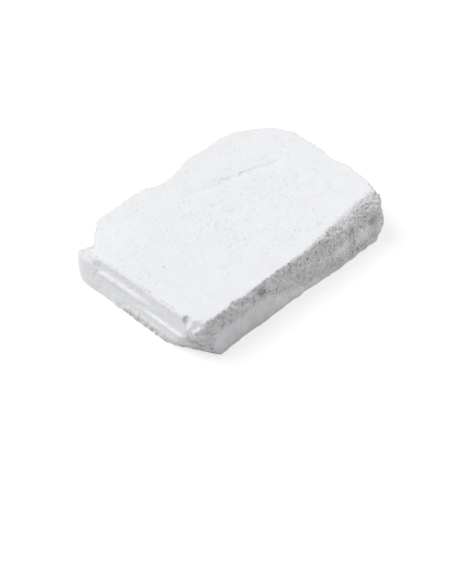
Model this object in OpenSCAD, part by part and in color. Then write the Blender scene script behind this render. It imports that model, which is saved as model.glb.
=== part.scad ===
// Climbing chalk block: a slab of pressed chalk, split from a moulded block.
// One end still has the moulded edge, with its cove and ridge. The two long
// sides and the other end are broken, so they are lumpy and crumble at the rim.
// The slab lies flat on its split face. X runs along it from the moulded end
// to the broken end, Y runs from the front to the back, and Z is up.

/* [Slab] */
// Length, from the moulded end to the broken end
block_l = 75.4; // [64:0.2:92]
// Width, from the front side to the back side
block_w = 51.6; // [44:0.2:62]
// Thickness at the broken end
block_t = 15; // [12:0.1:19]
// How much thinner the slab is at its moulded end
end_fall = 0.7; // [0:0.1:1.4]
// How much further the top falls at the back corner of the moulded end
corner_fall = 1.3; // [0:0.1:2]
// How far from that corner the fall begins
corner_fall_reach = 24; // [16:0.5:32]

/* [Moulded end] */
// Radius of the soft top edge
edge_r = 1.1; // [0.6:0.1:1.6]
// How far the cove under the top edge lies behind the ridge
cove_d = 0.8; // [0.3:0.05:1.2]
// Height of the cove, from the top edge down to the slope of the ridge
cove_h = 3.9; // [3:0.1:4.6]
// Height of the slope, from the cove out to the crest of the ridge
ridge_rise = 1.3; // [1:0.1:2]
// How far the crest stands out from the face below it
ridge_d = 0.3; // [0.1:0.05:0.8]
// Height over which the crest rounds into the face below it
ridge_h = 1; // [0.6:0.1:1.8]
// How much lower a second ridge lies, which takes over on the front part
ridge_step = 2.4; // [0:0.1:3]
// Height of the slope of that second ridge, as a share of the first one's
thin_rise = 0.4; // [0.3:0.05:1]
// Distance from the front side to where one ridge gives way to the other
ridge_step_y = 21; // [16:0.5:28]
// Length over which it does so
ridge_step_l = 12; // [4:0.5:14]
// How far the moulded end stops short of the front side
mould_stop = 5.8; // [4:0.1:8]
// How far the cove and the ridge stop short of the back side
cove_stop = 10.4; // [8:0.2:14]
// Length over which they run out into the plain face there
cove_fade = 3; // [1.5:0.1:5]
// How far the foot of the end is worn back
foot_wear = 0.3; // [0:0.1:1]

/* [Broken sides] */
// Width of the crumbled rim near the moulded end
rim_small = 0.4; // [0.2:0.1:1]
// Width of the crumbled rim on the front side at the broken end
rim_large = 2.4; // [1.2:0.1:3]
// How far the sides are hollowed under the rim
hollow_d = 0.6; // [0:0.1:1.2]
// Spacing of the lumps left by the break
lump_size = 6.5; // [4:0.1:9]
// Height of the lumps
lump_h = 0.6; // [0:0.05:1]
// Spacing of the crumbs
crumb_size = 2.4; // [1.8:0.1:3.5]
// Height of the crumbs
crumb_h = 0.6; // [0:0.02:0.8]

/* [Broken outline] */
// Length of the rounded corner between the broken end and the back
round_l = 18; // [12:0.5:22]
// Width of that rounded corner
round_w = 18.5; // [12:0.5:22]
// How far the broken end falls back at its front corner
end_taper = 3.9; // [0:0.1:6]
// Length of the tapered stretch of the broken end
end_taper_w = 16; // [10:0.5:20]
// Depth of the dent in the broken end
dent_d = 1.1; // [0:0.1:2]
// Distance of the dent from the front side
dent_y = 22.5; // [19:0.5:26]
// Half the width of the dent
dent_reach = 6; // [4:0.5:9]
// Depth of the bay in the back side
bay_d = 2.3; // [0:0.1:3.5]
// Distance of the bay from the moulded end
bay_x = 34.4; // [26:0.2:40]
// Half the length of the bay
bay_reach = 11; // [7:0.5:14]
// Corner radius at the back of the moulded end
back_r = 7.3; // [3:0.1:9]
// Corner radius at the front of the moulded end
front_r = 2.2; // [1.2:0.1:4]
// Corner radius at the front of the broken end
end_r = 4; // [3:0.1:6]

/* [Chips] */
// How far the chipped back corner reaches along the back side
chip_l = 11.6; // [8:0.2:16]
// How far it reaches along the moulded end
chip_w = 10; // [7:0.2:13]
// Height of the ledge at the foot of the wall that the chip leaves
chip_z = 10.7; // [8:0.1:11.4]
// How far the ledge falls over its reach
chip_fall = 0.6; // [0.4:0.1:4]
// Reach of the ledge from the wall, where it has fallen that far
chip_reach = 5; // [3:0.1:6]
// Length of the ledge along the wall, from the moulded end to its brink
ledge_l = 5; // [4:0.2:10]
// How steeply the chip falls away past the brink
brink_fall = 1.6; // [0.6:0.1:2]
// How far the front corner is broken back at its shoulder
break_d = 2.5; // [1:0.1:4]
// Height of that shoulder, where the broken corner stands out most
shoulder_z = 10.5; // [8:0.1:12]
// How much further the corner is broken back at the top
break_top = 0.9; // [0.4:0.1:3]
// How much further the corner is broken back at the foot
break_foot = 3.9; // [2:0.1:6]
// Width of that break along the end, for each unit along the front side
break_lean = 1.9; // [1:0.05:2.6]
// Radius of the larger bites out of the sides
bite_r = 3.2; // [2.4:0.1:4.5]
// Depth of the bites
bite_d = 0.8; // [0:0.1:1.4]

/* [Top face] */
// Depth of the scrape across the top
scrape_d = 0.26; // [0:0.02:0.6]
// Half the width of the scrape
scrape_reach = 2.2; // [1.6:0.1:3.5]
// Distance of the scrape from the back side, at its end nearer the moulded end
scrape_y1 = 12.2; // [8:0.2:16]
// Distance of the scrape from the back side, at its other end
scrape_y2 = 19.2; // [15:0.2:22]
// Distance of the start of the scrape from the moulded end
scrape_x = 34; // [26:0.5:38]
// Length of the scrape
scrape_l = 30; // [20:0.5:32]
// Depth of the dimple beside the scrape
dimple_d = 0.5; // [0:0.05:0.8]
// Half the width of the dimple
dimple_reach = 2.6; // [2:0.1:4]
// Height of the gentle waves of the face
wave_h = 0.3; // [0:0.02:0.5]
// Spacing of the waves
wave_size = 10; // [7:0.5:15]

/* [Hidden] */

CHALK = [0.93, 0.935, 0.94];

// Steps along a long side, a short side and a corner of the outline
LONG_STEPS = 56;
SHORT_STEPS = 34;
CORNER_STEPS = 6;
// Depth of each ring of the side, as a share of the way from the rim to the
// foot, closest together at the rim and around both ridges
DEPTHS = [
    0, 0.03, 0.06, 0.11, 0.17, 0.23, 0.27, 0.305, 0.34, 0.375, 0.41,
    0.455, 0.49, 0.515, 0.54, 0.57, 0.61, 0.66, 0.73, 0.81, 0.9, 1];
// Rings of the top face, as shares of the way out from its middle line, each
// set with half as many points to a ring as the set before
TOP_RINGS = [[0.95], [0.9, 0.85, 0.8, 0.75, 0.7, 0.65, 0.6, 0.55, 0.5, 0.45], [0.39, 0.33, 0.27], [0.2, 0.1]];
// The skin runs on below the floor by this much and is cut off there
CUT = 1;
// Share of the height of the crumbs that the moulded end and the top face have
END_CRUMBS = 0.2;
TOP_CRUMBS = 0.25;
// Where on the lattice the crumbs and the ragged rim are read
CRUMBS_AT = [7, 3, 5];
RAGS_AT = [2, 9, 4];

x0 = -block_l / 2;
x1 = block_l / 2;
y0 = -block_w / 2;
y1 = block_w / 2;

// ---- curves and grain ------------------------------------------------------

function mix(a, b, t) = a + (b - a) * t;
function clamp(t) = max(0, min(1, t));
function ease(t) = let (c = clamp(t)) c * c * (3 - 2 * c);
// One smooth hump, 1 in the middle and 0 past a reach of 1
function hump(t) = abs(t) >= 1 ? 0 : (1 + cos(180 * t)) / 2;

// Smooth random grain from 0 to 1, on a lattice with a spacing of 1
LATTICE = rands(0, 1, 4096, 20);
function lattice(i, j, k) = LATTICE[(((i * 17 + j * 149 + k * 1117) % 4096) + 4096) % 4096];
function grain(p) =
    let (c = [for (a = p) floor(a)],
         f = [for (a = [0:2]) ease(p[a] - c[a])],
         plane = [for (k = [0, 1])
             mix(mix(lattice(c[0], c[1], c[2] + k), lattice(c[0] + 1, c[1], c[2] + k), f[0]),
                 mix(lattice(c[0], c[1] + 1, c[2] + k), lattice(c[0] + 1, c[1] + 1, c[2] + k), f[0]),
                 f[1])])
    mix(plane[0], plane[1], f[2]);

// ---- outline ---------------------------------------------------------------

// Outline points are [x, y, normal x, normal y]. They run anticlockwise from
// the front corner of the moulded end.
function side(a, b, n, steps) = [for (i = [0:steps - 1]) concat(mix(a, b, i / steps), n)];
function corner(c, r, from) =
    [for (i = [0:CORNER_STEPS - 1])
        let (t = from + 90 * i / CORNER_STEPS)
        [c[0] + r[0] * cos(t), c[1] + r[1] * sin(t), cos(t), sin(t)]];

PLAN = concat(
    side([x0 + front_r, y0], [x1 - end_r, y0], [0, -1], LONG_STEPS),
    corner([x1 - end_r, y0 + end_r], [end_r, end_r], -90),
    side([x1, y0 + end_r], [x1, y1 - round_w], [1, 0], SHORT_STEPS - CORNER_STEPS),
    corner([x1 - round_l, y1 - round_w], [round_l, round_w], 0),
    side([x1 - round_l, y1], [x0 + back_r, y1], [0, 1], LONG_STEPS - CORNER_STEPS),
    corner([x0 + back_r, y1 - back_r], [back_r, back_r], 90),
    side([x0, y1 - back_r], [x0, y0 + front_r], [-1, 0], SHORT_STEPS),
    corner([x0 + front_r, y0 + front_r], [front_r, front_r], 180));
COUNT = len(PLAN);

// The outline as it broke: the end tapers to the front, and the end and the
// back side are hollowed. The taper squeezes the half of the slab that it is on.
function broken(o) =
    let (squeeze = 1 - end_taper * clamp(1 - (o[1] - y0) / end_taper_w) / x1,
         back = max(0, o[2]) * dent_d * hump((o[1] - y0 - dent_y) / dent_reach)
              + max(0, o[3]) * bay_d * hump((o[0] - x0 - bay_x) / bay_reach))
    [max(0, o[0]) * squeeze + min(0, o[0]) - back * o[2], o[1] - back * o[3], o[2], o[3]];
OUTLINE = [for (o = PLAN) broken(o)];

// Share of the moulded end in a place on the outline, 1 on it and 0 elsewhere
function moulded(o) = ease((-o[2] - 0.2) / 0.7) * ease((o[1] - y0) / mould_stop);

// ---- chips -----------------------------------------------------------------

// The chipped back corner has an upright wall over a rounded ledge, which
// falls away past its brink
CHIP_DIR = [-chip_w, chip_l] / norm([chip_w, chip_l]);
CHIP_AT = CHIP_DIR * [x0 + chip_l, y1];
CHIP_RUN = [CHIP_DIR[1], -CHIP_DIR[0]];
BRINK_AT = CHIP_RUN * [x0, y1 - chip_w] + ledge_l;
function chip_out(z, at) =
    let (ledge = chip_z - brink_fall * max(0, CHIP_RUN * at - BRINK_AT))
    CHIP_AT + chip_reach * pow(max(0, ledge - z) / chip_fall, 1 / 3);

// The broken front corner has a round shoulder and leans in below it
BREAK_DIR = [-break_lean, -1] / norm([break_lean, 1]);
BREAK_AT = BREAK_DIR * [x0, y0];
function break_out(z) =
    BREAK_AT - break_d
    - break_top * pow(clamp((z - shoulder_z) / (block_t - shoulder_z)), 2)
    - break_foot * pow(clamp(1 - z / shoulder_z), 1.5);

// The crumbled rim of the front side widens towards the broken end
function rim_width(x) = rim_small + rim_large * ease(((x - x0) / block_l - 0.4) / 0.45);
function ragged_width(x) = rim_width(x) * (0.85 + 0.3 * grain([x, 0, 0] / crumb_size));

// Takes a place on the outline, at a height, in to the faces of both chips and
// of the rim, which runs in by so much there
function chipped(at, z, rim_in, rough) =
    let (q = at - max(0, CHIP_DIR * at - chip_out(z, at) + rough) * CHIP_DIR,
         r = q - max(0, BREAK_DIR * q - break_out(z) + rough) * BREAK_DIR)
    [r[0], max(r[1], y0 + rim_in + rough)];

// Bites out of the sides, each at a place on the outline, at a share of the
// thickness and with a share of the radius
BITES = [
    [[mix(x0, x1, 0.18), y0], 0.93, 0.6],
    [[mix(x0, x1, 0.28), y0], 0.97, 0.8],
    [[mix(x0, x1, 0.305), y0], 0.74, 0.6],
    [[mix(x0, x1, 0.62), y0], 0.84, 0.9],
    [[mix(x0, x1, 0.76), y0], 0.7, 0.65],
    [[mix(x0, x1, 0.83), y0], 0.84, 0.7],
    [[mix(x0, x1, 0.87), y0], 0.64, 0.9],
    [[x0, mix(y0, y1, 0.1)], 0.9, 0.7],
    [[x0, mix(y0, y1, 0.37)], 0.97, 0.5]];
function bitten(p) =
    bite_d * max([for (b = BITES) hump(norm(p - [b[0][0], b[0][1], b[1] * block_t]) / bite_r / b[2])]);

// ---- top face --------------------------------------------------------------

SCRAPE_A = [x0 + scrape_x, y1 - scrape_y1];
SCRAPE_B = [x0 + scrape_x + scrape_l, y1 - scrape_y2];
DIMPLE_AT = SCRAPE_A - 2 * [dimple_reach, dimple_reach / 2];
function scrape(x, y) =
    let (run = SCRAPE_B - SCRAPE_A,
         t = clamp(([x, y] - SCRAPE_A) * run / (run * run)))
    scrape_d * hump(norm([x, y] - SCRAPE_A - t * run) / scrape_reach);
function dimple(x, y) = dimple_d * hump(norm([x, y] - DIMPLE_AT) / dimple_reach);
function top_z(x, y) =
    let (along = clamp((x - x0) / block_l),
         to_corner = norm([x - x0, y - y1]) / corner_fall_reach)
    block_t - end_fall * (1 - along) - corner_fall * ease(1 - to_corner)
    - scrape(x, y) - dimple(x, y)
    - wave_h * grain([x, y, 0] / wave_size)
    - TOP_CRUMBS * crumb_h * grain([x, y, 0] / crumb_size);

// ---- sides -----------------------------------------------------------------

// How far back the cove, a ridge and the face below it lie at a depth below the
// top edge, for a ridge with its crest at one depth and a slope of one height
function ridged(drop, crest, rise) =
    cove_d * ease((crest - drop) / rise) + ridge_d * ease((drop - crest) / ridge_h);

// How far back the moulded end lies at a depth below the top edge
function moulded_in(drop, y, t) =
    let (crest = cove_h + ridge_rise,
         second = ease((ridge_step_y + ridge_step_l / 2 - (y - y0)) / ridge_step_l),
         edge = edge_r - sqrt(pow(edge_r, 2) - pow(max(0, edge_r - drop), 2)),
         soft = ease(mix(0.5, 1, drop / edge_r / 2)) * ease((y1 - cove_stop - y) / cove_fade),
         wear = foot_wear * pow(clamp(drop / t), 4))
    edge + wear + soft * mix(
        ridged(drop, crest, ridge_rise),
        ridged(drop, crest + ridge_step, thin_rise * ridge_rise),
        second);

// How far back a broken side lies at a depth below the top edge
function broken_in(o, drop) =
    let (rim = o[3] < 0 ? ragged_width(o[0]) : rim_small)
    max(0, rim_small - drop) + hollow_d * hump((drop - 1.6 * rim) / (rim + hollow_d));

// Lumps and crumbs, as a distance in from the outermost surface
function rough_in(p, m) =
    (1 - m) * lump_h * grain(p / lump_size)
    + mix(1, END_CRUMBS, m) * crumb_h * grain(p / crumb_size + CRUMBS_AT);

// The even edge of the top face, which the ragged rim runs along
function top_edge(o) =
    let (back = mix(rim_small + lump_h / 2, edge_r + cove_d / 2, moulded(o)))
    chipped([o[0] - back * o[2], o[1] - back * o[3]], block_t, rim_width(o[0]), lump_h / 2);

// A point of the side, at a share of the depth
function side_point(o, share) =
    let (edge = top_edge(o),
         t = top_z(edge[0], edge[1]),
         m = moulded(o),
         drop = t * share,
         p = [o[0], o[1], t - drop],
         back = mix(broken_in(o, drop), moulded_in(drop, o[1], t), m) + rough_in(p, m) + bitten(p),
         rough = lump_h * grain(p / crumb_size + RAGS_AT))
    concat(chipped([o[0], o[1]] - back * [o[2], o[3]], p[2], ragged_width(o[0]) - drop, rough), p[2]);

// ---- skin ------------------------------------------------------------------

SIDE_RINGS = [for (share = DEPTHS) [for (o = OUTLINE) side_point(o, share)]];
RIM = SIDE_RINGS[0];
FOOT = SIDE_RINGS[len(SIDE_RINGS) - 1];

// The rings of the top face run inside the even edge, and the ragged rim fades
// out over the outer ones
MIDDLE_LINE = (block_l - block_w) / 2;
function top_ring(share, step) =
    [for (i = [0:step:COUNT - 1])
        let (edge = mix(top_edge(OUTLINE[i]), [RIM[i][0], RIM[i][1]], ease((share - 0.7) / 0.3)),
             middle = [max(-MIDDLE_LINE, min(MIDDLE_LINE, edge[0])), 0],
             p = mix(middle, edge, share))
        [p[0], p[1], top_z(p[0], p[1])]];

// All rings, from the cut below the floor up the side and in to the middle
RINGS = concat(
    [[for (p = FOOT) [p[0], p[1], -CUT]]],
    [for (i = [len(SIDE_RINGS) - 1:-1:0]) SIDE_RINGS[i]],
    [for (set = [0:len(TOP_RINGS) - 1]) for (share = TOP_RINGS[set]) top_ring(share, pow(2, set))]);

function starts(i = 0, at = 0) = i == len(RINGS) ? [] : concat([at], starts(i + 1, at + len(RINGS[i])));
START = starts();
POINTS = concat([for (r = RINGS) each r], [[0, 0, -CUT], [0, 0, top_z(0, 0)]]);
BELOW = len(POINTS) - 2;
MIDDLE = len(POINTS) - 1;

// Triangles between one ring and the next one, which may have half the points
function band(a) =
    let (n = len(RINGS[a]), h = len(RINGS[a + 1]), s = START[a], e = START[a + 1])
    n == h
        ? [for (i = [0:n - 1])
            let (j = (i + 1) % n)
            each [[s + i, e + i, s + j], [s + j, e + i, e + j]]]
        : [for (i = [0:h - 1])
            let (p = 2 * i, q = p + 1, r = (p + 2) % n, j = (i + 1) % h)
            each [[s + p, e + i, s + q], [s + q, e + i, e + j], [s + q, e + j, s + r]]];
// Triangles from a ring to a point in its middle
function fan(ring, tip) =
    let (n = len(RINGS[ring]), s = START[ring])
    [for (i = [0:n - 1]) [s + i, tip, s + (i + 1) % n]];
function flipped(faces) = [for (f = faces) [f[2], f[1], f[0]]];
FACES = concat(
    [for (ring = [0:len(RINGS) - 2]) each band(ring)],
    fan(len(RINGS) - 1, MIDDLE),
    flipped(fan(0, BELOW)));

// ---- pieces ----------------------------------------------------------------

module chalk_block() {
    color(CHALK)
        difference() {
            polyhedron(POINTS, FACES);
            translate([-block_l, -block_w, -2 * CUT])
                cube([2 * block_l, 2 * block_w, 2 * CUT]);
        }
}

chalk_block();
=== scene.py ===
from collections import namedtuple
import math
import random

import bpy
from bpy.props import FloatProperty, FloatVectorProperty, IntProperty, PointerProperty
from bpy.types import Operator, Panel, PropertyGroup
from mathutils import Matrix, Vector
from mathutils.bvhtree import BVHTree
import numpy as np


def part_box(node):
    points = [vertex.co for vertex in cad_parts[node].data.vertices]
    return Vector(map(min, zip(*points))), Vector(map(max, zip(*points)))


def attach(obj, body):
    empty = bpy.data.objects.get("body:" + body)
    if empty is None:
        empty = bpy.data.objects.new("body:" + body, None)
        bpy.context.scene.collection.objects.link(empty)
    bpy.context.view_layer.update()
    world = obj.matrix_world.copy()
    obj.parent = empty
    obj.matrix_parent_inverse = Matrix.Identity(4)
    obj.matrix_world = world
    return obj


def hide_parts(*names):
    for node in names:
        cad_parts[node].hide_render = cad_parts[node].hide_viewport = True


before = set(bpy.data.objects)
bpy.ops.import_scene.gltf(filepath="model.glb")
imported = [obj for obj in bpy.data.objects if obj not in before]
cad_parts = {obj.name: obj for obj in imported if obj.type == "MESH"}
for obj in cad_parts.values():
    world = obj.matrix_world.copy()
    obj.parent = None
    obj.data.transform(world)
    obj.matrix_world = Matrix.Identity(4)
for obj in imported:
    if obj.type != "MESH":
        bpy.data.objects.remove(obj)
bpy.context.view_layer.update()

bl_info = {
    "name": "Climbing chalk block",
    "version": (1, 0, 0),
    "blender": (4, 5, 0),
    "location": "View3D > Sidebar > Chalk",
    "description": "Builds a broken slab of pressed climbing chalk and a plain studio around it",
    "category": "Object",
}

# What the frame calls the solid and its body
NODE = "chalk_block"
BODY = "root"
# The box round the frame, and the solid's lowest and highest corner, in metres.
# X runs along the slab from its moulded end to its broken end, Y from its front
# side to its back side, and Z is up.
LOW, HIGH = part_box(NODE)
MM = 0.001
# The solid's corners and its front in millimetres, as the masks and the marks use
LOW_MM = LOW / MM
HIGH_MM = HIGH / MM
FRONT_Y = LOW.y / MM


# ---- sizes and colours -------------------------------------------------------

class ChalkSizes(PropertyGroup):
    """Sizes of the slab's surface."""

    voxel: FloatProperty(
        name="Voxel", description="Size of the finest form in the slab's mesh",
        default=0.24 * MM, unit="LENGTH", precision=5)
    cut_voxel: FloatProperty(
        name="Cut voxel", description="Size of the finest form in what is cut out of the slab",
        default=0.16 * MM, unit="LENGTH", precision=5)
    triangles: IntProperty(
        name="Triangles", description="Most triangles in the finished mesh", default=190000)
    swelling: FloatProperty(
        name="Swelling", description="How far the front corner of the broken end bulges out",
        default=0.9 * MM, unit="LENGTH", precision=5)
    ledge_size: FloatProperty(
        name="Ledge size", description="Size of the ledges on the broken sides",
        default=2.6 * MM, unit="LENGTH", precision=5)
    ledge_height: FloatProperty(
        name="Ledge height", description="Height of those ledges",
        default=0.35 * MM, unit="LENGTH", precision=5)
    pore_size: FloatProperty(
        name="Pore size", description="Spacing of the pores where the sides are porous",
        default=0.8 * MM, unit="LENGTH", precision=5)
    pore_depth: FloatProperty(
        name="Pore depth", description="Depth of those pores",
        default=0.55 * MM, unit="LENGTH", precision=5)
    grain_size: FloatProperty(
        name="Grain size", description="Size of the grain where the sides are porous",
        default=0.45 * MM, unit="LENGTH", precision=5)
    grain_height: FloatProperty(
        name="Grain height", description="Height of that grain",
        default=0.3 * MM, unit="LENGTH", precision=5)
    skin_size: FloatProperty(
        name="Skin size", description="Size of the fine grain all over the slab",
        default=0.7 * MM, unit="LENGTH", precision=5)
    skin_height: FloatProperty(
        name="Skin height", description="Height of that fine grain",
        default=0.07 * MM, unit="LENGTH", precision=5)
    seed: IntProperty(name="Seed", description="Seed of all that is scattered", default=7)


class ChalkFinish(PropertyGroup):
    """Colour and grain of the chalk, and the shade painted into its colour in pores, pits and gaps and on
    its porous sides.
    """

    colour: FloatVectorProperty(
        name="Colour", description="Colour of clean pressed chalk",
        subtype="COLOR", size=3, default=(0.87, 0.877, 0.895))
    # Painted shade: the colour that the porous broken sides and the front side near the moulded end are
    # darkened towards, in place of the shade in their fine pores and the shade on that front; it is not a
    # duller chalk.
    shade_colour: FloatVectorProperty(
        name="Crumbled", description="Colour where the chalk broke, which is a little duller",
        subtype="COLOR", size=3, default=(0.765, 0.77, 0.785))
    dust: FloatVectorProperty(
        name="Dust", description="Colour of the slightly duller patches",
        subtype="COLOR", size=3, default=(0.83, 0.837, 0.855))
    patch_size: FloatProperty(
        name="Patch size", description="Size of those patches",
        default=5.0 * MM, unit="LENGTH", precision=5)
    # Painted shade in hollows: the grey that the fine pores, the gaps between crumbs and the shallow pits
    # are darkened towards, and how far each is, in place of the shade inside them.
    pore_shade: FloatVectorProperty(
        name="Pore", description="Colour that the bottoms of pores and pits tend to",
        subtype="COLOR", size=3, default=(0.5, 0.5, 0.5))
    pore_dark: FloatProperty(
        name="Pore dark", description="How far the bottoms of the fine pores take that colour",
        default=0.8)
    crumb_dark: FloatProperty(
        name="Crumb dark", description="How far the gaps between the crumbs take it",
        default=0.17)
    pit_dark: FloatProperty(
        name="Pit dark", description="How far the shallow pits take it",
        default=0.09)
    pore_size: FloatProperty(
        name="Fine pore size", description="Spacing of the fine pores",
        default=0.75 * MM, unit="LENGTH", precision=5)
    pore_depth: FloatProperty(
        name="Fine pore depth", description="Depth of the fine pores",
        default=0.3 * MM, unit="LENGTH", precision=5)
    crumb_size: FloatProperty(
        name="Crumb size", description="Size of the crumbs where the sides are porous",
        default=0.6 * MM, unit="LENGTH", precision=5)
    grain_size: FloatProperty(
        name="Fine grain size", description="Size of the finest grain",
        default=0.35 * MM, unit="LENGTH", precision=5)
    grain_depth: FloatProperty(
        name="Fine grain depth", description="Depth of that grain where the sides are porous",
        default=0.12 * MM, unit="LENGTH", precision=5)
    pit_size: FloatProperty(
        name="Pit size", description="Spacing of the shallow pits all over the slab",
        default=1.5 * MM, unit="LENGTH", precision=5)
    pit_depth: FloatProperty(
        name="Pit depth", description="Depth of those pits",
        default=0.18 * MM, unit="LENGTH", precision=5)
    pitted: FloatVectorProperty(
        name="Pitted", description="Middle of the part of the top where those pits are deepest",
        subtype="TRANSLATION", default=(0.008, -0.004, 0.0145), precision=5)
    pitted_core: FloatProperty(
        name="Pitted core", description="How far from there the pits keep their full depth",
        default=12.0 * MM, unit="LENGTH", precision=5)
    pitted_reach: FloatProperty(
        name="Pitted reach", description="How far from there the pits come down to their least depth",
        default=30.0 * MM, unit="LENGTH", precision=5)
    cluster_size: FloatProperty(
        name="Cluster size", description="Size of the clusters of pores and pits",
        default=4.0 * MM, unit="LENGTH", precision=5)
    roughness: FloatProperty(
        name="Roughness", description="How matt the chalk is", default=0.95)
    sheen: FloatProperty(
        name="Sheen", description="How strongly the chalk mirrors light", default=0.15)


class StudioSettings(PropertyGroup):
    """Floor, lamps and camera."""

    floor_size: FloatProperty(
        name="Floor", description="Length of each side of the floor", default=6.0, unit="LENGTH")
    floor_shade: FloatProperty(
        name="Floor shade", description="Share of its light that the floor throws back on the slab",
        default=0.8)
    shadow_shade: FloatProperty(
        name="Shadow shade", description="Share of its light that the floor shows in the picture",
        default=0.35)
    floor_glow: FloatProperty(
        name="Floor glow", description="How bright the floor looks in the picture where no light falls",
        default=0.7)
    sky: FloatProperty(
        name="Sky", description="Strength of the light from all round", default=0.31)
    key_power: FloatProperty(
        name="Key lamp", description="Power of the large lamp above and behind the slab",
        default=24.9, unit="POWER")
    key_size: FloatProperty(
        name="Key size", description="Width of the large lamp", default=1.2, unit="LENGTH")
    key_place: FloatVectorProperty(
        name="Key place", description="Place of the large lamp",
        subtype="TRANSLATION", default=(-0.64, 0.65, 1.5))
    fill_power: FloatProperty(
        name="Fill lamp", description="Power of the weak lamp before the front side",
        default=0.18, unit="POWER")
    fill_size: FloatProperty(
        name="Fill size", description="Width of the weak lamp", default=0.2, unit="LENGTH")
    fill_place: FloatVectorProperty(
        name="Fill place", description="Place of the weak lamp",
        subtype="TRANSLATION", default=(0.2, -0.15, 0.1))
    camera_place: FloatVectorProperty(
        name="Camera", description="Place of the camera",
        subtype="TRANSLATION", default=(-0.258092, -0.255355, 0.335259))
    camera_aim: FloatVectorProperty(
        name="Aim", description="Point in the middle of the view",
        subtype="TRANSLATION", default=(-0.012605, -0.009868, 0.0))
    lens: FloatProperty(
        name="Lens", description="Focal length of the camera", default=110.96, unit="CAMERA")
    sensor: FloatProperty(
        name="Sensor", description="Width of the camera's sensor", default=36.0, unit="CAMERA")


# ---- helpers -----------------------------------------------------------------

def select_only(piece):
    """Leave this piece selected and active, and nothing else."""
    bpy.ops.object.select_all(action="DESELECT")
    piece.select_set(True)
    bpy.context.view_layer.objects.active = piece


def finish_with(piece, kind, **settings):
    """Put a modifier with these settings on the piece and apply it."""
    modifier = piece.modifiers.new(kind.title(), kind)
    for name, value in settings.items():
        setattr(modifier, name, value)
    select_only(piece)
    bpy.ops.object.modifier_apply(modifier=modifier.name)


def join(pieces, name):
    """Join the pieces into the first of them."""
    select_only(pieces[0])
    for piece in pieces:
        piece.select_set(True)
    bpy.ops.object.join()
    pieces[0].name = name
    return pieces[0]


def ramp(values, start, end):
    """Change smoothly from 0 at the start to 1 at the end, which may be the lower one."""
    t = np.clip((values - start) / (end - start), 0.0, 1.0)
    return t * t * (3.0 - 2.0 * t)


def surface(piece):
    """Places in millimetres and normals of a piece's vertices, as rows."""
    count = len(piece.data.vertices)
    places = np.empty(3 * count)
    normals = np.empty(3 * count)
    piece.data.vertices.foreach_get("co", places)
    piece.data.vertices.foreach_get("normal", normals)
    return places.reshape(-1, 3) / MM, normals.reshape(-1, 3)


def weigh(piece, name, mask, levels=12):
    """Weigh the vertices by a mask, in a named group and in so many steps."""
    group = piece.vertex_groups.new(name=name)
    steps = np.rint(mask(*surface(piece)) * levels).astype(int)
    for step in range(1, levels + 1):
        group.add(np.flatnonzero(steps == step).tolist(), step / levels, "REPLACE")


def note(piece, name, mask):
    """Keep a mask on the vertices, for the material to read by its name."""
    kept = piece.data.attributes.new(name, "FLOAT", "POINT")
    kept.data.foreach_set("value", mask(*surface(piece)))


def clouds(name, size, depth=2, basis="ORIGINAL_PERLIN", contrast=1.0):
    """A cloudy texture with lumps of this size."""
    texture = bpy.data.textures.new(name, "CLOUDS")
    texture.noise_scale = size
    texture.noise_depth = depth
    texture.noise_basis = basis
    texture.contrast = contrast
    return texture


def roughen(piece, texture, height, level, group=""):
    """Sink the surface where a texture is darker than a level, and raise it elsewhere."""
    finish_with(piece, "DISPLACE", texture=texture, texture_coords="LOCAL",
                strength=height, mid_level=level, vertex_group=group)


def swell(piece, height, group):
    """Move the surface out along its normals by this height, times its weight in a group."""
    finish_with(piece, "DISPLACE", strength=height, mid_level=0.0, vertex_group=group)


def keep_inside(piece, low, high):
    """Move vertices that stray outside a box back onto its faces."""
    places = np.empty(3 * len(piece.data.vertices))
    piece.data.vertices.foreach_get("co", places)
    places = np.clip(places.reshape(-1, 3), low, high)
    piece.data.vertices.foreach_set("co", places.ravel())
    piece.data.update()


# ---- where the slab is rough -------------------------------------------------

# Places are in millimetres. A span is where a mask is 0 and where it is 1, and
# it may run down an axis.

# Spans of the normal's share along an axis, for faces that look to the front,
# straight up or down, to the moulded end, and more or less up
TO_FRONT = (-0.3, -0.6)
UP_OR_DOWN = (0.75, 0.95)
TO_MOULDED_END = (-0.4, -0.8)
LEANS_UP = (0.3, 0.6)

# Along the front side, the height above which it is porous: a thin band near the
# moulded end, most of the side further on. Then the span round that height, and
# the share of its pores that the side lacks below it
FRONT_X = (-34.0, -31.0, -27.0, -20.0, -16.0, -12.0, -2.0, 8.0, 20.0, 34.0)
FRONT_Z = (6.0, 10.0, 12.3, 12.0, 9.8, 8.4, 4.5, 3.0, 1.5, 1.0)
FRONT_FADE = (-2.5, 1.5)
FRONT_CLEARED = 0.8
# Spots of the front side that have few pores: X, Z and how far they reach. Then
# the share of the pores that they keep, the share of their reach up to which
# they are barest, and the waves of their outline: height, and pace along X and Z
BARE = ((15.6, 7.4, 4.0), (25.0, 6.6, 3.5))
BARE_KEPT = 0.2
BARE_CORE = 0.2
BARE_WAVES = ((0.8, 2.1, 1.3), (0.6, -1.1, 3.7))
# Span along X over which shade is painted on the front side, more of it towards the moulded end
SHADED_FRONT_X = (-2.0, -14.0)

# Width of the crumbled rim of the front side, in from the solid's front, along X.
# Then the share of it over which its inner edge fades, and its span along Z
RIM_X = (-36.0, -10.0, 5.0, 20.0, 36.0)
RIM_Y = (0.9, 1.2, 1.8, 4.0, 5.2)
RIM_FADE = 0.25
RIM_Z = (7.0, 9.0)
# How worn the rim is, how many widths in from the front it is worn, and the
# spans across that line and along Z
RIM_WEAR = 0.5
RIM_WORN = 1.5
RIM_WORN_FADE = (-0.4, 0.4)
RIM_WORN_Z = (8.0, 10.0)

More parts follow.
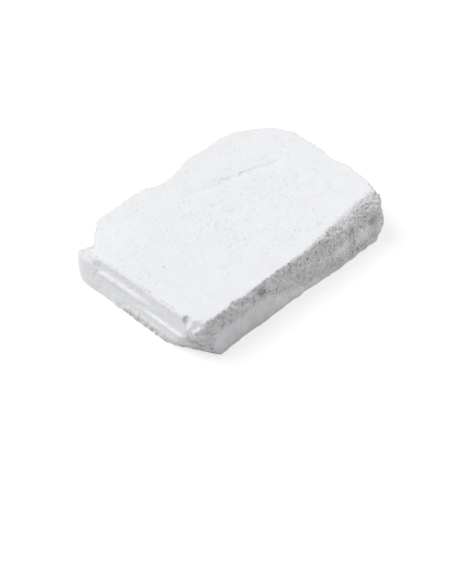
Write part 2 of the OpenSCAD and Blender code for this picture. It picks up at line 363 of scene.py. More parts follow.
# Span along X where the moulded end begins. Then how worn it is low down, how
# much more near the top, and the span along Z between them
END_X = (-35.0, -36.0)
END_WEAR = 0.15
END_TOP_WEAR = 0.25
END_TOP_Z = (11.5, 13.0)
# Span along Y that parts the moulded end from the broken front corner
END_Y = (FRONT_Y + 5.0, FRONT_Y + 7.0)
# Crumbled foot of the moulded end: its spans, and how porous it is
FOOT_X = (-34.0, -35.0)
FOOT_Y = (8.0, 3.0)
FOOT_Z = (3.6, 1.6)
FOOT_PORES = 0.8

# Middle of the lobe at the back corner of the moulded end, and how far it
# reaches. Then the span of its normal's Y share over which it is worn, so that
# its back stays sharp, the span along Z of its ledge, and how porous that is
LOBE = Vector((-37.0, 18.0))
LOBE_REACH = 6.5
LOBE_WORN = (0.7, 0.3)
LEDGE_Z = (12.5, 11.5)
LEDGE_PORES = 0.5
# The same for the shoulder at the front corner, and its worn span along Z
SHOULDER = Vector((-35.0, -22.5))
SHOULDER_REACH = 4.5
SHOULDER_WORN_Z = (6.0, 9.0)
# Spans of the shoulder's side towards the moulded end, and the share of the
# pores that it lacks
SHOULDER_X = (-30.0, -33.0)
SHOULDER_Y = (-17.0, -19.0)
SHOULDER_Z = (7.0, 9.0)
SHOULDER_SIDE = (-0.2, -0.5)
SHOULDER_CLEARED = 0.7
# Middle of the bulge at the front corner of the broken end, how far it reaches,
# over how much of that it fades, and the two spans along Z that it lies between
BULGE = Vector((34.5, -23.5))
BULGE_REACH = 7.0
BULGE_FADE = 4.0
BULGE_LOW = (0.0, 6.0)
BULGE_HIGH = (15.0, 9.0)


def around(places, middle, reach, fade=1.5):
    """1 near an upright line through a place, fading to 0 at a reach from it."""
    away = np.hypot(places[:, 0] - middle.x, places[:, 1] - middle.y)
    return ramp(reach - away, 0.0, fade)


def swollen(places, normals):
    """1 halfway up the front corner of the broken end, 0 away from it."""
    z = places[:, 2]
    corner = around(places, BULGE, BULGE_REACH, BULGE_FADE)
    return corner * ramp(z, *BULGE_LOW) * ramp(z, *BULGE_HIGH)


def worn(places, normals):
    """1 where an edge is worn round, less on the moulded end and along the front rim."""
    x, y, z = places.T
    end = ramp(x, *END_X) * (END_WEAR + END_TOP_WEAR * ramp(z, *END_TOP_Z))
    inside = FRONT_Y + RIM_WORN * np.interp(x, RIM_X, RIM_Y) - y
    rim = RIM_WEAR * ramp(inside, *RIM_WORN_FADE) * ramp(z, *RIM_WORN_Z)
    lobe = around(places, LOBE, LOBE_REACH) * ramp(normals[:, 1], *LOBE_WORN)
    shoulder = around(places, SHOULDER, SHOULDER_REACH) * ramp(z, *SHOULDER_WORN_Z)
    return np.maximum(np.maximum(end, rim), np.maximum(lobe, shoulder))


def broken(places, normals):
    """1 on the broken sides, 0 on the top, the bottom and the moulded end."""
    upright = 1.0 - ramp(np.abs(normals[:, 2]), *UP_OR_DOWN)
    moulded = ramp(normals[:, 0], *TO_MOULDED_END) * ramp(places[:, 1], *END_Y)
    return upright * (1.0 - moulded)


def porous_front(x, z):
    """1 above the height where the front side gets porous, less below it and in bare spots."""
    level = np.interp(x, FRONT_X, FRONT_Z)
    rough = ramp(z, level + FRONT_FADE[0], level + FRONT_FADE[1])
    wander = sum(height * np.sin(along * x + up * z) for height, along, up in BARE_WAVES)
    for bare_x, bare_z, reach in BARE:
        away = np.hypot(x - bare_x, z - bare_z) + wander
        rough = rough * (BARE_KEPT + (1.0 - BARE_KEPT) * ramp(away, BARE_CORE * reach, reach))
    return rough


def porous(places, normals):
    """1 where the broken sides and the crumbled front rim are full of pores."""
    x, y, z = places.T
    front = ramp(normals[:, 1], *TO_FRONT)
    sides = broken(places, normals) * (1.0 - front * (1.0 - porous_front(x, z)) * FRONT_CLEARED)
    width = np.interp(x, RIM_X, RIM_Y)
    rim = ramp(FRONT_Y + width - y, -RIM_FADE * width, RIM_FADE * width) * ramp(z, *RIM_Z)
    foot = ramp(z, *FOOT_Z) * ramp(y, *FOOT_Y) * ramp(x, *FOOT_X)
    ledge = around(places, LOBE, LOBE_REACH) * ramp(normals[:, 2], *LEANS_UP) * ramp(z, *LEDGE_Z)
    shoulder = ramp(x, *SHOULDER_X) * ramp(y, *SHOULDER_Y) * ramp(z, *SHOULDER_Z)
    shoulder = shoulder * ramp(normals[:, 0], *SHOULDER_SIDE)
    upper = np.maximum(sides, rim) * (1.0 - SHOULDER_CLEARED * shoulder)
    return np.maximum(upper, np.maximum(FOOT_PORES * foot, LEDGE_PORES * ledge))


def painted_shade_mask(places, normals):
    """1 where shade is painted into the colour: where the chalk is porous, and on the front side near the
    moulded end.
    """
    front = ramp(normals[:, 1], *TO_FRONT) * ramp(places[:, 0], *SHADED_FRONT_X)
    return np.maximum(porous(places, normals), front)


# ---- lumps and where they go -------------------------------------------------

# How many kinds of lump there are, and how far apart they stand while they are
# knocked out of round, so that they differ. Then the size, the contrast and the
# height of the knocks. The lumps start as balls with a radius of 1
LUMP_KINDS = 5
LUMP_SPACING = 3.0
KNOCK_SIZE = 0.9
KNOCK_CONTRAST = 1.6
KNOCK_HEIGHT = 0.9
# Least and most length of a scattered lump against its width, and the power by
# which small ones outnumber large ones
LENGTHS = (0.8, 1.5)
SMALLER = 2
# Distance between the lumps of a row, against their radius
ROW_STEP = 0.6

# Lumps in a row along a line of points, and lumps scattered over the stretch of
# the surface that is nearest to a box. Flat is a lump's height against its
# radius, lift how much of its height it is raised by, and ragged how much of its
# radius its size and place stray by.
Row = namedtuple("Row", "points radius flat lift ragged", defaults=(0.8, 0.0, 0.25))
Spread = namedtuple("Spread", "x y z count radii flat lift", defaults=(0.8, 0.0))


def make_lumps():
    """A few uneven lumps of unit size, each a ball knocked out of round."""
    knocks = clouds("knocks", KNOCK_SIZE, contrast=KNOCK_CONTRAST)
    lumps = []
    for kind in range(LUMP_KINDS):
        bpy.ops.object.select_all(action="DESELECT")
        bpy.ops.mesh.primitive_ico_sphere_add(
            subdivisions=2, location=(LUMP_SPACING * kind, 0.0, 0.0))
        lump = bpy.context.object
        lump.name = "lump"
        finish_with(lump, "DISPLACE", texture=knocks, texture_coords="GLOBAL",
                    strength=KNOCK_HEIGHT, mid_level=0.5)
        lump.location = (0.0, 0.0, 0.0)
        lumps.append(lump)
    return lumps


class Bench:
    """The slab's surface, its dice and its lumps, and what has been set on it."""

    def __init__(self, slab, seed):
        """Take the slab's surface as it is now, and make the lumps."""
        self.tree = BVHTree.FromObject(slab, bpy.context.evaluated_depsgraph_get())
        self.dice = random.Random(seed)
        self.lumps = make_lumps()
        self.made = []

    def put(self, place, size, lift=0.0):
        """Set a lump on the spot nearest to a place, its third size along the normal."""
        spot, normal, _, _ = self.tree.find_nearest(Vector(place) * MM)
        size = Vector(size) * MM
        copy = bpy.data.objects.new("lump_copy", self.dice.choice(self.lumps).data.copy())
        bpy.context.scene.collection.objects.link(copy)
        copy.data.transform(
            Matrix.Translation(spot + normal * lift * size.z)
            @ Vector((0.0, 0.0, 1.0)).rotation_difference(normal).to_matrix().to_4x4()
            @ Matrix.Rotation(self.dice.uniform(0.0, math.tau), 4, "Z")
            @ Matrix.Diagonal(size.to_4d()))
        self.made.append(copy)

    def scatter(self, spread):
        """Set the lumps of a spread, by chance."""
        least, most = spread.radii
        for _ in range(spread.count):
            place = [self.dice.uniform(*span) for span in (spread.x, spread.y, spread.z)]
            radius = least + (most - least) * self.dice.random() ** SMALLER
            length = radius * self.dice.uniform(*LENGTHS)
            self.put(place, (length, radius, radius * spread.flat), spread.lift)

    def row(self, row):
        """Set the lumps of a row, from each of its points to the next."""
        for start, end in zip(row.points, row.points[1:]):
            start, end = Vector(start), Vector(end)
            steps = max(1, round((end - start).length / (ROW_STEP * row.radius)))
            for step in range(steps + 1):
                size = row.radius * self.dice.uniform(1.0 - row.ragged, 1.0 + row.ragged)
                stray = [self.dice.uniform(-row.ragged, row.ragged) * row.radius for _ in range(3)]
                place = start.lerp(end, step / steps) + Vector(stray)
                self.put(place, (size, size, size * row.flat), row.lift)

    def take(self, name):
        """Join what has been made and hand it over."""
        piece = join(self.made, name)
        self.made = []
        return piece

    def clear(self):
        """Remove the lumps that the others were copied from."""
        for lump in self.lumps:
            bpy.data.objects.remove(lump)


# Marks on the slab, by places near its surface. Those of the top are placed at
# this height, and those scattered over a side in a band this deep
TOP = 14.4
BAND = 1.0
FRONT_BAND = (LOW_MM.y, LOW_MM.y + BAND)
BACK_BAND = (HIGH_MM.y - BAND, HIGH_MM.y)
MOULDED_BAND = (LOW_MM.x, LOW_MM.x + BAND)
BROKEN_BAND = (HIGH_MM.x - BAND, HIGH_MM.x)
# The broken front corner of the moulded end
CORNER_X = (LOW_MM.x, LOW_MM.x + 6.0)
CORNER_Y = (LOW_MM.y, LOW_MM.y + 5.5)

# The scrape of the top in three parts, and a weaker line beside the first
GOUGES = (
    Row(((13.2, 9.4, TOP), (16.4, 8.4, TOP), (20.4, 6.9, TOP), (24.4, 6.1, TOP)),
        radius=1.1, flat=0.3, ragged=0.2),
    Row(((7.0, 11.4, TOP), (9.9, 10.1, TOP), (12.6, 8.9, TOP)), radius=1.1, flat=0.22, ragged=0.2),
    Row(((-1.8, 13.0, TOP), (1.7, 12.0, TOP), (5.6, 10.4, TOP)), radius=0.9, flat=0.2, ragged=0.2),
    Row(((16.0, 6.6, TOP), (19.0, 5.5, TOP), (23.0, 4.2, TOP)), radius=0.6, flat=0.22, ragged=0.2))
# The notch where the moulded end's cove meets the broken front corner
NOTCH = Row(((-35.9, -19.6, 13.2), (-36.4, -19.8, 12.2), (-36.7, -20.0, 11.0)), radius=1.0, flat=0.7)
# Pits and chips of the top: their places, and their length, width and height
TOP_PIT = (0.7, 0.6, 0.32)
TOP_PITS = (
    (20.0, 3.3), (14.9, -3.5), (16.5, -4.8), (5.1, -3.6), (16.5, -14.6), (-7.3, -5.5), (-17.3, 18.8),
    (11.0, -4.4), (16.0, -7.2), (29.0, -3.9), (13.4, -9.7), (-6.3, -11.9), (14.8, 2.1))
TOP_CHIP = (0.5, 0.4, 0.22)
TOP_CHIPS = ((-25.9, -11.2), (-30.7, -8.4), (15.5, -6.7), (-0.8, 3.8))
# Holes of the sides, each with its radius. Their length and their least depth
# are shares of it, and a hole with a radius of more than 0.8 mm is deeper still
HOLE_LENGTH = 1.3
HOLE_DEPTH = 0.8
SIDE_HOLES = (
    ((-15.3, -25.0, 12.1), 1.1), ((-14.3, -24.8, 11.0), 1.1), ((-14.5, -24.8, 9.7), 0.7),
    ((-22.6, -25.0, 12.7), 0.7), ((-21.7, -25.1, 12.5), 0.8), ((-20.6, -25.1, 12.6), 0.7),
    ((-16.7, -25.1, 12.8), 0.5), ((-20.3, -24.9, 13.4), 0.45), ((-27.8, -25.2, 13.2), 0.5),
    ((-3.9, -25.1, 12.8), 0.5), ((-0.3, -25.1, 12.6), 0.5), ((2.8, -24.9, 12.3), 0.45),
    ((1.6, -25.0, 9.0), 0.5), ((-1.2, -25.3, 11.9), 0.45), ((-6.8, -25.1, 12.2), 0.45),
    ((-4.4, -25.2, 8.4), 0.4), ((8.1, -25.2, 7.7), 0.5), ((5.3, -25.1, 5.2), 0.4),
    ((19.7, -24.5, 9.4), 0.5), ((25.0, -24.6, 11.7), 0.6), ((29.2, -24.4, 9.5), 0.6),
    ((27.9, -24.5, 8.5), 0.5), ((21.3, -24.7, 10.2), 0.55), ((24.9, -24.8, 10.8), 0.5),
    ((18.4, -25.6, 2.5), 0.5), ((28.9, -23.7, 14.0), 0.6),
    ((-34.0, -25.3, 12.9), 0.5), ((-33.4, -25.4, 9.8), 0.5), ((-30.3, -25.1, 13.4), 0.45),
    ((-27.0, -25.5, 3.8), 0.5), ((-25.6, -25.5, 4.5), 0.45), ((-30.6, -25.6, 2.3), 0.5),
    ((-35.1, -22.4, 5.5), 0.8), ((-32.9, -22.8, 1.9), 0.5), ((-33.8, -25.3, 8.0), 0.8),
    ((-33.2, -25.3, 10.0), 0.7), ((-33.6, -23.9, 4.6), 0.75), ((-33.9, -25.2, 12.3), 0.6),
    ((-36.5, -5.8, 13.8), 0.35), ((-36.9, 5.4, 10.1), 0.3), ((-36.8, -11.4, 11.4), 0.25),
    ((-37.2, -17.5, 6.7), 0.3), ((-37.2, 9.3, 3.5), 0.3), ((-37.3, 7.0, 4.7), 0.25))
# Flakes that stand out of the sides, each with its radius, and their length,
# height and lift against it
FLAKE_LENGTH = 1.4
FLAKE_HEIGHT = 0.8
FLAKE_LIFT = 0.4
SIDE_FLAKES = (
    ((4.5, -25.1, 3.8), 0.4), ((8.4, -25.2, 7.0), 0.4), ((-5.3, -25.1, 10.1), 0.35),
    ((-36.3, -22.3, 10.1), 0.7), ((-35.6, -23.5, 11.6), 0.7), ((-35.2, -24.4, 9.5), 0.6),
    ((-34.4, -23.4, 6.4), 0.6), ((-35.9, -21.4, 7.6), 0.5))
# Narrow ridges between the holes under the front rim
SIDE_RIDGES = (
    Row(((-25.2, -24.9, 13.4), (-24.6, -25.1, 12.4), (-23.8, -25.2, 10.9)), radius=0.5, flat=1.0, lift=0.8),
    Row(((-19.4, -25.1, 13.1), (-18.6, -25.4, 12.3), (-16.8, -25.0, 10.2)), radius=0.5, flat=1.0, lift=0.8),
    Row(((-16.9, -24.2, 14.1), (-14.7, -24.2, 14.0)), radius=0.5, flat=1.0, lift=0.8))

# Small holes scattered over the sides, the top and the moulded end
SCATTERED_HOLES = (
    Spread(x=(-14.0, 36.0), y=FRONT_BAND, z=(9.0, 14.2), count=150, radii=(0.25, 0.5)),
    Spread(x=(-34.0, 36.0), y=FRONT_BAND, z=(1.0, 13.5), count=110, radii=(0.25, 0.4)),
    Spread(x=(18.0, 36.0), y=FRONT_BAND, z=(7.0, 14.4), count=80, radii=(0.25, 0.45)),
    Spread(x=(14.0, 31.0), y=FRONT_BAND, z=(9.5, 12.0), count=220, radii=(0.25, 0.45), flat=1.4),
    Spread(x=(LOW_MM.x + 3.0, LOW_MM.x + 5.0), y=FRONT_BAND, z=(2.0, 11.5),
           count=60, radii=(0.3, 0.6), flat=1.2),
    Spread(x=CORNER_X, y=CORNER_Y, z=(0.5, 8.5), count=60, radii=(0.3, 0.65), flat=0.9),
    Spread(x=(-30.0, 30.0), y=BACK_BAND, z=(0.5, 11.5), count=260, radii=(0.2, 0.4)),
    Spread(x=BROKEN_BAND, y=(-22.0, 18.0), z=(0.5, 12.0), count=200, radii=(0.2, 0.4)),
    Spread(x=MOULDED_BAND, y=(-17.0, 8.0), z=(0.2, 3.4), count=120, radii=(0.2, 0.4)),
    Spread(x=(-35.0, 34.0), y=(-24.0, 23.0), z=(TOP, TOP), count=160, radii=(0.25, 0.5), flat=0.35),
    Spread(x=(-4.0, 26.0), y=(-17.0, 8.0), z=(TOP, TOP), count=90, radii=(0.3, 0.6), flat=0.35),
    Spread(x=MOULDED_BAND, y=(-14.0, 14.0), z=(0.5, 5.0), count=90, radii=(0.15, 0.35), flat=0.6),
    Spread(x=MOULDED_BAND, y=(2.0, 15.0), z=(6.0, 8.5), count=35, radii=(0.2, 0.4), flat=0.6))
# Crumbs scattered along the front side and over the foot of the moulded end
SCATTERED_CRUMBS = (
    Spread(x=(-34.0, 36.0), y=FRONT_BAND, z=(11.0, 14.2), count=60, radii=(0.2, 0.4)),
    Spread(x=CORNER_X, y=CORNER_Y, z=(0.8, 8.5), count=60, radii=(0.3, 0.6), lift=0.2),
    Spread(x=MOULDED_BAND, y=(-17.0, 8.0), z=(0.3, 3.6), count=170, radii=(0.2, 0.4), lift=0.4),
    Spread(x=MOULDED_BAND, y=(-14.0, 14.0), z=(1.0, 5.0), count=80, radii=(0.15, 0.3),
           flat=0.7, lift=0.3))


def cut_marks(bench):
    """Everything that is cut out of the slab: gouges, pits and holes."""
    for gouge in GOUGES:
        bench.row(gouge)
    bench.row(NOTCH)
    for place in TOP_PITS:
        bench.put((*place, TOP), TOP_PIT)
    for place, radius in SIDE_HOLES:
        depth = radius * max(HOLE_DEPTH, radius)
        bench.put(place, (radius * HOLE_LENGTH, radius, depth))
    for spread in SCATTERED_HOLES:
        bench.scatter(spread)


def raise_marks(bench):
    """Everything that still stands on the slab: chips, flakes, ridges and crumbs."""
    for place in TOP_CHIPS:
        bench.put((*place, TOP), TOP_CHIP)
    for place, radius in SIDE_FLAKES:
        bench.put(place, (radius * FLAKE_LENGTH, radius, radius * FLAKE_HEIGHT), FLAKE_LIFT)
    for ridge in SIDE_RIDGES:
        bench.row(ridge)
    for spread in SCATTERED_CRUMBS:
        bench.scatter(spread)


# ---- the slab ----------------------------------------------------------------

# How far a vertex moves towards its neighbours in one pass, how many passes wear
# an edge round, and how many soften the marks
SMOOTHING = 0.5
WORN_PASSES = 60
MARKED_PASSES = 2
# Contrast of each texture that roughens the slab, and the brightness at which it
# leaves the surface where it is. The skin has the contrast of the grain
LEDGE_CONTRAST = 1.6
LEDGE_LEVEL = 0.5
PORE_CONTRAST = 1.8
PORE_LEVEL = 0.6
GRAIN_CONTRAST = 2.0
GRAIN_LEVEL = 0.5
SKIN_LEVEL = 0.7
# Vertices that are nearer than this are merged
MERGED = 0.001 * MM


def slab_copy(name):
    """A merged copy of the frame's solid, as the start of the slab."""
    slab = bpy.data.objects.new(name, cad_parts[NODE].data.copy())
    bpy.context.scene.collection.objects.link(slab)
    select_only(slab)
    bpy.ops.object.mode_set(mode="EDIT")
    bpy.ops.mesh.select_all(action="SELECT")
    bpy.ops.mesh.remove_doubles(threshold=MERGED)
    bpy.ops.object.mode_set(mode="OBJECT")
    return slab


def wear(slab, sizes):
    """Bulge the broken end's front corner out, and wear the worn edges round."""
    finish_with(slab, "REMESH", mode="VOXEL", voxel_size=sizes.voxel)
    weigh(slab, "swollen", swollen)
    swell(slab, sizes.swelling, "swollen")
    weigh(slab, "worn", worn)
    finish_with(slab, "SMOOTH", factor=SMOOTHING, iterations=WORN_PASSES, vertex_group="worn")


def mark(slab, sizes):
    """Cut the holes out of the slab, and join it with what is raised."""
    bench = Bench(slab, sizes.seed)
    cut_marks(bench)
    cuts = bench.take("cuts")
    finish_with(cuts, "REMESH", mode="VOXEL", voxel_size=sizes.cut_voxel)
    raise_marks(bench)
    raised = bench.take("raised")
    bench.clear()
    finish_with(slab, "BOOLEAN", operation="DIFFERENCE", solver="MANIFOLD", object=cuts)
    bpy.data.objects.remove(cuts)
    join([slab, raised], slab.name)
    finish_with(slab, "REMESH", mode="VOXEL", voxel_size=sizes.voxel)
    slab.vertex_groups.clear()
    finish_with(slab, "SMOOTH", factor=SMOOTHING, iterations=MARKED_PASSES)


def roughen_sides(slab, sizes):
    """Roughen the broken sides by ledges, pores and grain, and all of the slab by a fine grain."""
    weigh(slab, "broken", broken)
    weigh(slab, "porous", porous)
    ledges = clouds("ledges", sizes.ledge_size, depth=3, contrast=LEDGE_CONTRAST)
    pores = clouds("pores", sizes.pore_size, depth=1, basis="VORONOI_F1", contrast=PORE_CONTRAST)
    grain = clouds("grain", sizes.grain_size, contrast=GRAIN_CONTRAST)
    skin = clouds("skin", sizes.skin_size, contrast=GRAIN_CONTRAST)
    roughen(slab, ledges, sizes.ledge_height, LEDGE_LEVEL, "broken")
    roughen(slab, pores, sizes.pore_depth, PORE_LEVEL, "porous")
    roughen(slab, grain, sizes.grain_height, GRAIN_LEVEL, "porous")
    roughen(slab, skin, sizes.skin_height, SKIN_LEVEL)
    slab.vertex_groups.clear()


def thin_out(slab, sizes):
    """Make the slab one closed mesh again, inside the solid's box and with few enough triangles."""
    keep_inside(slab, LOW, HIGH)
    finish_with(slab, "REMESH", mode="VOXEL", voxel_size=sizes.voxel)
    slab.data.calc_loop_triangles()
    share = sizes.triangles / len(slab.data.loop_triangles)
    if share < 1.0:
        finish_with(slab, "DECIMATE", ratio=share)
    keep_inside(slab, LOW, HIGH)


def make_slab(sizes):
    """The slab, with its marks, its rough broken sides and its fine grain."""
    slab = slab_copy("chalk_slab")
    wear(slab, sizes)
    mark(slab, sizes)
    roughen_sides(slab, sizes)
    thin_out(slab, sizes)
    # The material reads these two masks to paint shade into the colour of the porous parts and of the front
    # side near the moulded end.
    note(slab, "porous", porous)
    note(slab, "painted_shade_mask", painted_shade_mask)
    select_only(slab)
    bpy.ops.object.shade_smooth()
    return slab


# ---- the chalk ---------------------------------------------------------------

# The brightness of noise over which clusters of pores and pits set in, and the
# share of the pores and pits that shows between the clusters
CLUSTER_SPAN = (0.38, 0.6)
BETWEEN_CLUSTERS = 0.2
# Small pores and pits against the large ones: their spacing and their depth
SMALL_SPACING = 0.5
SMALL_PORE = 0.7
SMALL_PIT = 0.4
# How far a noise bends the fine pores out of round, against their spacing, and
# how many of its lumps there are to one spacing
STRAY = 0.4
STRAY_PACE = 0.5
# The brightness of noise over which a gap between crumbs turns into a crumb
CRUMB_SPAN = (0.3, 0.6)
# Depth of the pits far from the middle of the top, against those in the middle
PITTED_LEAST = 0.8
# Size and height of the waves between the pits, against the pits
WAVE_SIZE = 0.6
WAVE_HEIGHT = 0.9
# Height of the finest grain on the pressed faces, against where it is porous
PRESSED_GRAIN = 0.6
# Depth of the gaps between the crumbs, against the fine pores
CRUMB_DEPTH = 0.5
# Least radius of a pore or pit, against its cell, so that it is never zero
LEAST_RADIUS = 0.01


class Wiring:
    """A material's nodes, added and linked by name."""

    def __init__(self, name):
        """Start a material that has the principled shader alone."""
        self.material = bpy.data.materials.new(name)
        self.material.use_nodes = True
        self.tree = self.material.node_tree
        self.shader = self.tree.nodes["Principled BSDF"]

    def set(self, node, inputs):
        """Set a node's inputs, to values or to other nodes' outputs."""
        for name, value in inputs.items():
            if isinstance(value, bpy.types.NodeSocket):
                self.tree.links.new(value, node.inputs[name])
            else:
                node.inputs[name].default_value = value

    def add(self, kind, output, inputs, **settings):
        """Add a node and hand over one of its outputs."""
        node = self.tree.nodes.new(kind)
        for name, value in settings.items():
            setattr(node, name, value)
        self.set(node, inputs)
        return node.outputs[output]

    def attribute(self, name):
        """A mask that the mesh carries."""
        return self.add("ShaderNodeAttribute", "Fac", {}, attribute_name=name)

    def math(self, operation, a, b):
        """The result of a sum on two values."""
        return self.add("ShaderNodeMath", "Value", {0: a, 1: b}, operation=operation)

    def vector(self, operation, output, a, b):
        """The result of a sum on two vectors, or on a vector and a scale."""
        second = "Scale" if operation == "SCALE" else 1
        return self.add("ShaderNodeVectorMath", output, {0: a, second: b}, operation=operation)

    def noise(self, place, size, detail):
        """Soft noise with lumps of this size."""
        return self.add("ShaderNodeTexNoise", "Fac",
                        {"Vector": place, "Scale": 1.0 / size, "Detail": detail})

    def ramp(self, value, low, high, to_low=0.0, to_high=1.0):
        """Change smoothly from one value to another while a value goes from low to high."""
        return self.add("ShaderNodeMapRange", "Result", {
            "Value": value, "From Min": low, "From Max": high, "To Min": to_low, "To Max": to_high},
            interpolation_type="SMOOTHSTEP")

    def blend(self, share, a, b):
        """The first colour, with this share of the second."""
        return self.add("ShaderNodeMix", "Result", {"Factor": share, "A": a, "B": b}, data_type="RGBA")

    def bump(self, height, depth, normal=None):
        """Bumps of this height, or dents where the depth is negative, on top of other bumps."""
        inputs = {"Strength": 1.0, "Distance": abs(depth), "Height": height}
        if normal:
            inputs["Normal"] = normal
        return self.add("ShaderNodeBump", "Normal", inputs, invert=depth < 0.0)

    def pores(self, place, size, smallest, largest, floor):
        """1 in round pores of uneven size, set in cells of one size, and 0 between them."""
        cells = self.tree.nodes.new("ShaderNodeTexVoronoi")
        self.set(cells, {"Vector": place, "Scale": 1.0 / size})
        chance = self.add("ShaderNodeSeparateColor", "Red", {"Color": cells.outputs["Color"]})
        radius = self.ramp(chance, 0.0, 1.0, smallest, largest)
        radius = self.math("MAXIMUM", radius, LEAST_RADIUS)
        share = self.math("DIVIDE", cells.outputs["Distance"], radius)
        return self.ramp(share, floor, 1.0, 1.0, 0.0)


def fine_pores(wires, place, clusters, rough, finish):
    """Fine pores of two sizes, where the chalk is porous, as a mask for their dents and for the shade
    painted into them.
    """
    stray = wires.add("ShaderNodeTexNoise", "Color",
                      {"Vector": place, "Scale": STRAY_PACE / finish.pore_size})
    shift = wires.vector("SCALE", "Vector", stray, STRAY * finish.pore_size)
    bent = wires.vector("ADD", "Vector", place, shift)
    large = wires.pores(bent, finish.pore_size, smallest=0.05, largest=0.5, floor=0.4)
    small = wires.pores(bent, SMALL_SPACING * finish.pore_size, smallest=0.1, largest=0.6, floor=0.4)
    pores = wires.math("MAXIMUM", large, wires.math("MULTIPLY", small, SMALL_PORE))
    return wires.math("MULTIPLY", wires.math("MULTIPLY", pores, clusters), rough)


def shallow_pits(wires, place, clusters, finish):
    """Shallow pits of two sizes all over, a little deeper in the middle of the top, as a mask for their
    dents and for the shade painted into them.
    """
    wide = wires.pores(place, finish.pit_size, smallest=0.05, largest=0.75, floor=0.0)
    narrow = wires.pores(place, SMALL_SPACING * finish.pit_size, smallest=0.05, largest=0.75, floor=0.0)
    pits = wires.math("MAXIMUM", wide, wires.math("MULTIPLY", narrow, SMALL_PIT))
    away = wires.vector("DISTANCE", "Value", place, finish.pitted)
    reach = wires.ramp(away, finish.pitted_core, finish.pitted_reach, 1.0, PITTED_LEAST)
    return wires.math("MULTIPLY", pits, wires.math("MULTIPLY", clusters, reach))


def chalk_material(finish):
    """Dry pressed chalk: white, matt and powdery, with fine pores where it broke, and shade painted into
    its colour on the porous sides, on the front side near the moulded end and in pores, pits and gaps
    between crumbs.
    """
    wires = Wiring("pressed_chalk")
    place = wires.add("ShaderNodeTexCoord", "Object", {})
    rough = wires.attribute("porous")
    shaded_share = wires.attribute("painted_shade_mask")

    patches = wires.noise(place, finish.patch_size, detail=4.0)
    gathered = wires.noise(place, finish.cluster_size, detail=3.0)
    clusters = wires.ramp(gathered, *CLUSTER_SPAN, BETWEEN_CLUSTERS, 1.0)
    pores = fine_pores(wires, place, clusters, rough, finish)
    pits = shallow_pits(wires, place, clusters, finish)
    crumbs = wires.noise(place, finish.crumb_size, detail=2.0)
    gaps = wires.math("MULTIPLY", wires.ramp(crumbs, *CRUMB_SPAN, 1.0, 0.0), rough)
    waves = wires.noise(place, WAVE_SIZE * finish.pit_size, detail=3.0)
    grain = wires.noise(place, finish.grain_size, detail=3.0)
    grain = wires.math("MULTIPLY", grain, wires.ramp(rough, 0.0, 1.0, PRESSED_GRAIN, 1.0))

    clean = wires.blend(patches, (*finish.colour, 1.0), (*finish.dust, 1.0))
    # Painted shade: the porous sides and the front side near the moulded end are blended towards the darker
    # shade colour.
    chalk = wires.blend(shaded_share, clean, (*finish.shade_colour, 1.0))
    # Painted shade in the fine pores, the gaps between crumbs and the shallow pits, blended towards the
    # grey below.
    dark = wires.math("MULTIPLY", pores, finish.pore_dark)
    dark = wires.math("MAXIMUM", dark, wires.math("MULTIPLY", gaps, finish.crumb_dark))
    dark = wires.math("MAXIMUM", dark, wires.math("MULTIPLY", pits, finish.pit_dark))
    colour = wires.blend(dark, chalk, (*finish.pore_shade, 1.0))
    normal = wires.bump(grain, finish.grain_depth)
    normal = wires.bump(waves, WAVE_HEIGHT * finish.pit_depth, normal)
    normal = wires.bump(pits, -finish.pit_depth, normal)
    normal = wires.bump(gaps, -CRUMB_DEPTH * finish.pore_depth, normal)
    normal = wires.bump(pores, -finish.pore_depth, normal)
    wires.set(wires.shader, {"Base Color": colour, "Normal": normal,
                             "Roughness": finish.roughness, "Specular IOR Level": finish.sheen})
    return wires.material


# ---- the studio --------------------------------------------------------------

def seen_rays(tree):
    """1 for rays that show the background in the picture, 0 for those that light it."""
    path = tree.nodes.new("ShaderNodeLightPath")
    total = path.outputs["Is Camera Ray"]
    for name in ("Is Glossy Ray", "Is Transmission Ray"):
        add = tree.nodes.new("ShaderNodeMath")
        add.operation = "MAXIMUM"
        tree.links.new(total, add.inputs[0])
        tree.links.new(path.outputs[name], add.inputs[1])
        total = add.outputs["Value"]
    return total


def grey(shade):
    """A colour with no hue, from 0 for black to 1 for white."""
    return (shade, shade, shade, 1.0)


def floor_material(studio):
    """A pale floor that looks white where it is lit and keeps a soft shadow."""
    material = bpy.data.materials.new("studio_floor")
    material.use_nodes = True
    tree = material.node_tree
    tree.nodes.clear()
    out = tree.nodes.new("ShaderNodeOutputMaterial")
    plain = tree.nodes.new("ShaderNodeBsdfDiffuse")
    plain.inputs["Color"].default_value = grey(studio.floor_shade)
    soft = tree.nodes.new("ShaderNodeBsdfDiffuse")
    soft.inputs["Color"].default_value = grey(studio.shadow_shade)
    glow = tree.nodes.new("ShaderNodeEmission")
    glow.inputs["Strength"].default_value = studio.floor_glow
    shown = tree.nodes.new("ShaderNodeAddShader")
    choice = tree.nodes.new("ShaderNodeMixShader")
    tree.links.new(soft.outputs["BSDF"], shown.inputs[0])
    tree.links.new(glow.outputs["Emission"], shown.inputs[1])
    tree.links.new(seen_rays(tree), choice.inputs["Fac"])
    tree.links.new(plain.outputs["BSDF"], choice.inputs[1])
    tree.links.new(shown.outputs["Shader"], choice.inputs[2])
    tree.links.new(choice.outputs["Shader"], out.inputs["Surface"])
    return material


def make_floor(studio):
    """A large plain floor that the slab lies on."""
    bpy.ops.object.select_all(action="DESELECT")
    bpy.ops.mesh.primitive_plane_add(size=studio.floor_size)
    floor = bpy.context.object
    floor.name = "studio_floor"
    floor.data.materials.append(floor_material(studio))


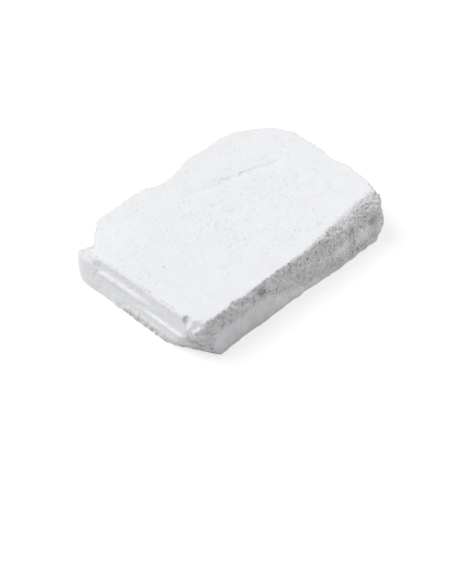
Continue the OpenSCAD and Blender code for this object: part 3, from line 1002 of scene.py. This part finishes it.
def make_sky(studio):
    """A world that looks white and gives a weak light from all round."""
    world = bpy.data.worlds.new("studio_sky")
    bpy.context.scene.world = world
    world.use_nodes = True
    tree = world.node_tree
    tree.nodes.clear()
    out = tree.nodes.new("ShaderNodeOutputWorld")
    weak = tree.nodes.new("ShaderNodeBackground")
    weak.inputs["Strength"].default_value = studio.sky
    white = tree.nodes.new("ShaderNodeBackground")
    choice = tree.nodes.new("ShaderNodeMixShader")
    tree.links.new(seen_rays(tree), choice.inputs["Fac"])
    for socket, shader in ((1, weak), (2, white)):
        shader.inputs["Color"].default_value = grey(1.0)
        tree.links.new(shader.outputs["Background"], choice.inputs[socket])
    tree.links.new(choice.outputs["Shader"], out.inputs["Surface"])


def turn_to(place, aim):
    """The turn that points a lamp or a camera from its place at a target."""
    return (Vector(aim) - Vector(place)).to_track_quat("-Z", "Y").to_euler()


def make_lamp(name, place, size, power):
    """One soft lamp, aimed at the slab."""
    bpy.ops.object.light_add(type="AREA", location=place, rotation=turn_to(place, (0.0, 0.0, 0.0)))
    lamp = bpy.context.object
    lamp.name = name
    lamp.data.shape = "DISK"
    lamp.data.size = size
    lamp.data.energy = power


def make_lamps(studio):
    """A large soft lamp above and behind the slab, and a weak one before it."""
    make_lamp("key_lamp", studio.key_place, studio.key_size, studio.key_power)
    make_lamp("fill_lamp", studio.fill_place, studio.fill_size, studio.fill_power)


def make_camera(studio):
    """The camera, looking down along the slab's front corner."""
    bpy.ops.object.camera_add(location=studio.camera_place,
                              rotation=turn_to(studio.camera_place, studio.camera_aim))
    camera = bpy.context.object
    camera.data.lens = studio.lens
    camera.data.sensor_width = studio.sensor
    bpy.context.scene.camera = camera


# ---- operators ---------------------------------------------------------------

class CHALK_OT_slab(Operator):
    """Build the slab of pressed chalk"""

    bl_idname = "chalk.slab"
    bl_label = "Chalk slab"

    def execute(self, context):
        """Build the slab, give it its material and tell the frame about it."""
        slab = make_slab(context.scene.chalk_sizes)
        slab.data.materials.clear()
        slab.data.materials.append(chalk_material(context.scene.chalk_finish))
        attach(slab, BODY)
        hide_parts(NODE)
        return {"FINISHED"}


class CHALK_OT_studio(Operator):
    """Build the floor, the light and the camera"""

    bl_idname = "chalk.studio"
    bl_label = "Studio"

    def execute(self, context):
        """Build the studio and set the plain view."""
        studio = context.scene.chalk_studio
        make_floor(studio)
        make_sky(studio)
        make_lamps(studio)
        make_camera(studio)
        context.scene.view_settings.view_transform = "Standard"
        return {"FINISHED"}


class CHALK_PT_panel(Panel):
    """Panel that lists the slab and its studio"""

    bl_idname = "CHALK_PT_panel"
    bl_label = "Chalk block"
    bl_space_type = "VIEW_3D"
    bl_region_type = "UI"
    bl_category = "Chalk"

    def draw(self, context):
        """List each group of settings, with the buttons that build the slab and the studio."""
        for settings, operator in ((context.scene.chalk_sizes, CHALK_OT_slab),
                                   (context.scene.chalk_finish, None),
                                   (context.scene.chalk_studio, CHALK_OT_studio)):
            box = self.layout.box()
            for name in settings.bl_rna.properties.keys():
                if name not in ("name", "rna_type"):
                    box.prop(settings, name)
            if operator:
                box.operator(operator.bl_idname)


CLASSES = (ChalkSizes, ChalkFinish, StudioSettings, CHALK_OT_slab, CHALK_OT_studio, CHALK_PT_panel)


def register():
    """Add the classes and the settings."""
    for cls in CLASSES:
        bpy.utils.register_class(cls)
    bpy.types.Scene.chalk_sizes = PointerProperty(type=ChalkSizes)
    bpy.types.Scene.chalk_finish = PointerProperty(type=ChalkFinish)
    bpy.types.Scene.chalk_studio = PointerProperty(type=StudioSettings)


def unregister():
    """Remove the settings and the classes."""
    del bpy.types.Scene.chalk_studio
    del bpy.types.Scene.chalk_finish
    del bpy.types.Scene.chalk_sizes
    for cls in reversed(CLASSES):
        bpy.utils.unregister_class(cls)


def main():
    """Build everything in order."""
    register()
    bpy.ops.chalk.slab()
    bpy.ops.chalk.studio()


if __name__ == "__main__":
    main()
